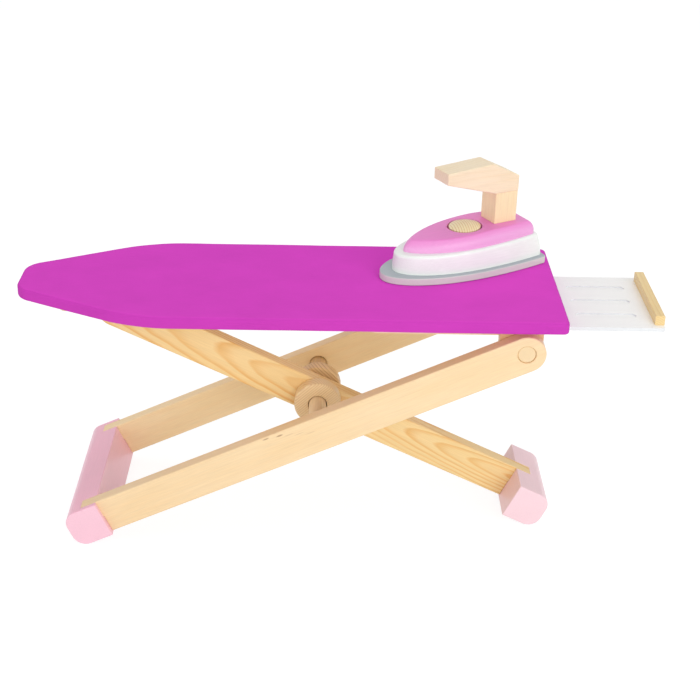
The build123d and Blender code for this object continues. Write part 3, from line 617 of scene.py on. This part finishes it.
def ironOutline(front, heel, width, heelWidth, widest, corner, power=2.0, root=0.5):
    # half widths follow a quarter ellipse to the nose, or a more pointed curve, and a parabola to the heel
    half = []
    for step in range(ironForm["noseSteps"]):
        share = 1 - math.cos(math.pi / 2 * step / ironForm["noseSteps"])
        half.append((front + share * (widest - front), width * (1 - (1 - share) ** power) ** root))
    sideEnd = heel - corner
    for step in range(ironForm["sideSteps"] + 1):
        u = widest + (sideEnd - widest) * step / ironForm["sideSteps"]
        half.append((u, width - (width - heelWidth) * ((u - widest) / (heel - widest)) ** 2))
    cornerWidth = half[-1][1]
    for step in range(1, ironForm["cornerSteps"] + 1):
        angle = math.pi / 2 * step / ironForm["cornerSteps"]
        half.append((sideEnd + corner * math.sin(angle), cornerWidth - corner * (1 - math.cos(angle))))
    lastWidth = half[-1][1]
    for step in range(1, ironForm["heelSteps"] + 1):
        half.append((heel, lastWidth * (1 - step / ironForm["heelSteps"])))
    return half + [(u, -v) for u, v in reversed(half[1:-1])]


def ironRing(bm, outline, level):
    # a closed ring of edges; level is a height in millimetres, or a function of the place along the iron
    turn = math.radians(ironPlace["turn"])
    ring = []
    for u, v in outline:
        height = level(u) if callable(level) else level
        x = ironPlace["tipX"] + u * math.cos(turn) - v * math.sin(turn)
        y = ironPlace["tipY"] + u * math.sin(turn) + v * math.cos(turn)
        ring.append(bm.verts.new((x * mm, y * mm, height * mm)))
    return [bm.edges.new((ring[index - 1], ring[index])) for index in range(len(ring))]


def ironMesh(name, rings, finish, node):
    # rings run from the bottom up; the first and the last are closed by a face
    bm = bmesh.new()
    loops = [ironRing(bm, outline, level) for outline, level in rings]
    for lower, upper in zip(loops, loops[1:]):
        bmesh.ops.bridge_loops(bm, edges=lower + upper)
    for end in (loops[0], loops[-1]):
        bmesh.ops.edgeloop_fill(bm, edges=end)
    bmesh.ops.recalc_face_normals(bm, faces=bm.faces)
    piece = meshObject(name, bm, materials[finish])
    piece.data.set_sharp_from_angle(angle=math.radians(ironForm["sharpAngle"]))
    keepFlat(piece)
    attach(piece, "iron")
    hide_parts(node)


sole = {
    "length": 188, "half": 44.6, "heelHalf": 37.6, "widest": 107, "corner": 6, "edge": 1.4, "edgeSteps": 5,
    "lowerEdge": ((0.5, 0), (0.15, 0.15), (0, 0.5)),    # inwards and up from the underside
    "screwShows": 0.05,
}
body = {
    "front": 14.6, "heel": 186, "half": 38.2, "heelHalf": 31.5, "widest": 107, "corner": 7, "edge": 3.4,
    "edgeSteps": 7, "frontDraft": 1.4, "heelDraft": 4.5, "sideDraft": 1.4, "draftPower": 1.6,
    "draftSteps": (0.25, 0.5, 0.75), "seamSlope": 1.7, "seamHeel": 184, "height": 25,
}
cap = {
    "front": 26, "heel": 178, "half": 32.6, "heelHalf": 26.6, "widest": 107, "corner": 7,
    "leastCorner": 1.5, "power": 1.9, "root": 0.66, "side": 12, "sideSteps": 8, "sideAngle": 62,
    "noseShare": 1.7,
    "rise": 38.2, "slope": 3.7, "slopeStart": 124.5, "softness": 4, "topSteps": (0.2, 0.4, 0.6, 0.8),
    "dialX": 102, "recess": 19.25, "recessDepth": 5, "recessEdge": 0.5,
}


def seamLevel(u):
    fall = (body["seamHeel"] - u) * math.tan(math.radians(body["seamSlope"]))
    return ironForm["soleTop"] + body["height"] - fall


def capLevel(u):
    ahead = cap["slopeStart"] - u
    fall = (ahead + math.sqrt(ahead * ahead + cap["softness"] ** 2)) / 2
    return ironForm["soleTop"] + cap["rise"] - fall * math.tan(math.radians(cap["slope"]))


def roundedEdge(steps, last=90):
    # shares of the radius, inwards and down from the top, of a round that turns by last degrees
    angles = [math.radians(last) * step / steps for step in range(steps + 1)]
    return [(1 - math.cos(angle), math.sin(math.radians(last)) - math.sin(angle)) for angle in angles]


def makeSole():
    def outline(inset):
        return ironOutline(inset, sole["length"] - inset, sole["half"] - inset, sole["heelHalf"] - inset,
                           sole["widest"], sole["corner"] - inset)
    low, top = ironForm["soleLow"] + sole["screwShows"], ironForm["soleTop"]
    rings = [(outline(inward), low + up) for inward, up in sole["lowerEdge"]]
    for inward, down in roundedEdge(sole["edgeSteps"]):
        rings.append((outline(inward * sole["edge"]), top - down * sole["edge"]))
    ironMesh("ironSole", rings, "solePaint", "iron_sole")


def makeBody():
    def outline(share, inset):
        sideIn = body["sideDraft"] * share + inset
        return ironOutline(body["front"] + body["frontDraft"] * share + inset,
                           body["heel"] - body["heelDraft"] * share - inset,
                           body["half"] - sideIn, body["heelHalf"] - sideIn, body["widest"],
                           body["corner"] - inset)

    def between(share, down):
        low = ironForm["soleTop"]
        return lambda u: low + (seamLevel(u) - down - low) * share
    edge = body["edge"]
    rings = [(outline(0, 0), between(0, 0))]
    for share in body["draftSteps"]:
        rings.append((outline(share ** body["draftPower"], 0), between(share, edge)))
    for inward, down in roundedEdge(body["edgeSteps"]):
        rings.append((outline(1, inward * edge), between(1, down * edge)))
    ironMesh("ironBody", rings, "bodyPaint", "iron_body")


def makeCap():
    def outline(inset):
        corner = max(cap["corner"] - inset, cap["leastCorner"])
        return ironOutline(cap["front"] + inset * cap["noseShare"], cap["heel"] - inset,
                           cap["half"] - inset, cap["heelHalf"] - inset, cap["widest"], corner,
                           cap["power"], cap["root"])

    def lowered(down):
        return lambda u: capLevel(u) - down
    rings = [(outline(0), seamLevel)]
    profile = roundedEdge(cap["sideSteps"], cap["sideAngle"])
    rings += [(outline(inward * cap["side"]), lowered(down * cap["side"])) for inward, down in profile]
    rim = outline(profile[-1][0] * cap["side"])
    hole = []
    for u, v in rim:
        reach = math.hypot(u - cap["dialX"], v)
        hole.append(((u - cap["dialX"]) / reach, v / reach))

    def circle(radius):
        return [(cap["dialX"] + radius * along, radius * across) for along, across in hole]
    wide, narrow = circle(cap["recess"] + cap["recessEdge"]), circle(cap["recess"])
    for share in cap["topSteps"]:
        between = [(a + (c - a) * share, b + (d - b) * share) for (a, b), (c, d) in zip(rim, wide)]
        rings.append((between, capLevel))
    rings.append((wide, capLevel))
    rings += [(narrow, lowered(cap[depth])) for depth in ("recessEdge", "recessDepth")]
    ironMesh("ironCap", rings, "capPaint", "iron_cap")


makeSole()
makeBody()
makeCap()
print("iron's painted pieces made")


# Floor, backdrop and light
stage = {"floorHalf": 6, "floorBounce": 0.9, "floorShadow": 0.25, "floorGlow": 0.86, "worldStrength": 0.52}


def greyDiffuse(tree, level):
    return addNode(tree, "ShaderNodeBsdfDiffuse", {"Color": (level, level, level, 1)}).outputs[0]


def makeFloor():
    material = bpy.data.materials.new("paleFloor")
    material.use_nodes = True
    tree = material.node_tree
    tree.nodes.clear()
    glow = addNode(tree, "ShaderNodeEmission", {"Color": (1, 1, 1, 1), "Strength": stage["floorGlow"]})
    shown = addNode(tree, "ShaderNodeAddShader",
                    {0: greyDiffuse(tree, stage["floorShadow"]), 1: glow.outputs[0]})
    bounced = greyDiffuse(tree, stage["floorBounce"])
    mixed = addNode(tree, "ShaderNodeMixShader", {0: seenDirectly(tree), 1: bounced, 2: shown.outputs[0]})
    addNode(tree, "ShaderNodeOutputMaterial", {"Surface": mixed.outputs[0]})
    bm = bmesh.new()
    bmesh.ops.create_grid(bm, x_segments=1, y_segments=1, size=stage["floorHalf"])
    meshObject("floor", bm, material)


makeFloor()

lamps = {
    # place and aim in metres, from the floor under the board's middle; size in metres, power in watts
    "keyLamp": {"place": (1.5, -2.35, 1.1), "size": 2.0, "power": 33, "aim": (0.05, 0, 0.15)},
    "frontLamp": {"place": (0.1, -2.3, 0.2), "size": 1.2, "power": 6, "aim": (0.05, 0.05, 0.12)},
    "topLamp": {"place": (0.3, 0.2, 2.6), "size": 2.2, "power": 13, "aim": (0.05, 0, 0.15)},
    "leftLamp": {"place": (-2.2, -0.9, 0.8), "size": 1.4, "power": 10, "aim": (0.05, 0, 0.15)},
}


def makeLight():
    for name, lamp in lamps.items():
        data = bpy.data.lights.new(name, "AREA")
        data.size = lamp["size"]
        data.energy = lamp["power"]
        holder = bpy.data.objects.new(name, data)
        holder.location = lamp["place"]
        toward = Vector(lamp["aim"]) - Vector(lamp["place"])
        holder.rotation_euler = toward.to_track_quat("-Z", "Y").to_euler()
        bpy.context.scene.collection.objects.link(holder)
    world = bpy.data.worlds.new("studio")
    bpy.context.scene.world = world
    world.use_nodes = True
    tree = world.node_tree
    tree.nodes.clear()
    strength = remap(tree, seenDirectly(tree), 0, 1, stage["worldStrength"], 1.0)
    back = addNode(tree, "ShaderNodeBackground", {"Color": (1, 1, 1, 1), "Strength": strength})
    addNode(tree, "ShaderNodeOutputWorld", {"Surface": back.outputs[0]})


makeLight()

# Camera as the photograph was taken: focal length in pixels of a 700-pixel frame
camera = {
    "focal": 1399.5, "frame": 700, "sensor": 36.0, "place": (0.0377, -1.3641, 0.8740),
    "pitch": 26.53, "yaw": 1.18, "roll": 1.4, "clip": (0.05, 50),
}


def makeCamera():
    data = bpy.data.cameras.new("photoCamera")
    data.sensor_width = camera["sensor"]
    data.lens = camera["focal"] * camera["sensor"] / camera["frame"]
    data.clip_start, data.clip_end = camera["clip"]
    pitch, yaw, roll = (math.radians(camera[key]) for key in ("pitch", "yaw", "roll"))
    forward = Vector((math.sin(yaw) * math.cos(pitch), math.cos(yaw) * math.cos(pitch), -math.sin(pitch)))
    right = Vector((math.cos(yaw), -math.sin(yaw), 0))
    up = right.cross(forward)
    rolledRight = math.cos(roll) * right + math.sin(roll) * up
    rolledUp = -math.sin(roll) * right + math.cos(roll) * up
    turned = Matrix((rolledRight, rolledUp, -forward)).transposed().to_4x4()
    holder = bpy.data.objects.new("photoCamera", data)
    holder.matrix_world = Matrix.Translation(Vector(camera["place"])) @ turned
    bpy.context.scene.collection.objects.link(holder)
    bpy.context.scene.camera = holder


makeCamera()
bpy.context.scene.view_settings.view_transform = "Standard"
print("stage, light and camera made")
